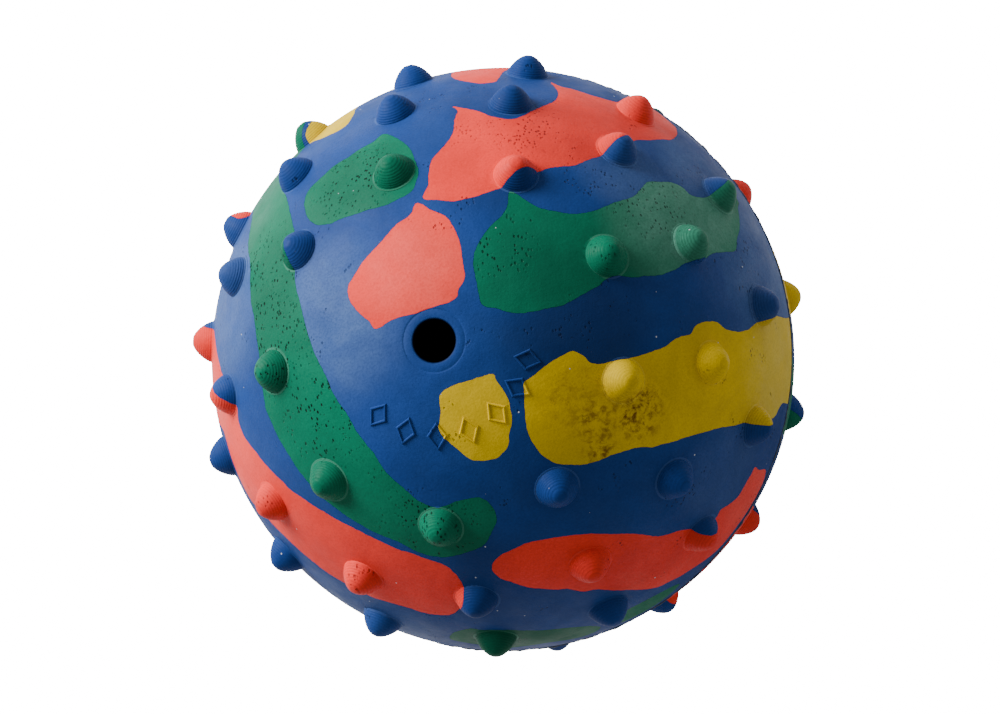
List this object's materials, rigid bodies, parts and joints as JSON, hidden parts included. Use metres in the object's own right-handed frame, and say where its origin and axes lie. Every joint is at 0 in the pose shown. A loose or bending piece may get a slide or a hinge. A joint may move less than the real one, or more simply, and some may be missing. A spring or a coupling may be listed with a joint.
{
  "type": "studded rubber dog ball",
  "caption": "Hollow rubber dog ball with blunt studs, inlaid colour patches, a round hole and a jingle bell loose in its cavity.",
  "frame": {"origin": "the ball's centre", "axes": "+Z out of the front hole, along the mould's axis; +Y close to the front half's first stud of each ring; the two halves meet at Z = 0"},
  "size_m": [0.0767, 0.0764, 0.0746],
  "materials": {
    "blue_rubber": "matt, dusty",
    "green_rubber": "matt, pitted",
    "red_rubber": "matt",
    "yellow_rubber": "matt, smudged",
    "seam_cement": "matt, rough",
    "bell_nickel": "dull nickel plate",
    "pellet_steel": "tumbled"
  },
  "bodies": {
    "ball": {"front_shell": "blue_rubber", "rear_shell": "blue_rubber", "seam_ring": "seam_cement", "front_green_top": "green_rubber", "front_yellow_top": "yellow_rubber", "front_red_top": "red_rubber", "front_red_crown": "red_rubber", "front_red_centre": "red_rubber", "front_red_rim": "red_rubber", "front_green_side": "green_rubber", "front_yellow_side": "yellow_rubber", "front_yellow_centre": "yellow_rubber", "front_red_low": "red_rubber", "front_green_low": "green_rubber", "front_green_edge": "green_rubber", "front_red_side": "red_rubber", "front_green_band": "green_rubber", "rear_green_side": "green_rubber", "rear_red_side": "red_rubber", "rear_yellow_side": "yellow_rubber", "rear_green_low": "green_rubber", "rear_red_low": "red_rubber", "rear_yellow_low": "yellow_rubber", "rear_red_band": "red_rubber", "rear_green_band": "green_rubber", "rear_red_crown": "red_rubber", "rear_yellow_top": "yellow_rubber", "rear_yellow_centre": "yellow_rubber"},
    "bell": {"bell_upper_cup": "bell_nickel", "bell_lower_cup": "bell_nickel", "bell_loop": "bell_nickel"},
    "pellet": {"bell_pellet": "pellet_steel"}
  },
  "joints": [
    {"name": "bell_roll", "type": "hinge", "parent": "ball", "child": "bell", "pos_m": [0, 0, 0], "axis": [1, 0, 0], "continuous": true},
    {"name": "pellet_roll", "type": "hinge", "parent": "bell", "child": "pellet", "pos_m": [0, 0, -0.0175], "axis": [0, 1, 0], "continuous": true}
  ]
}
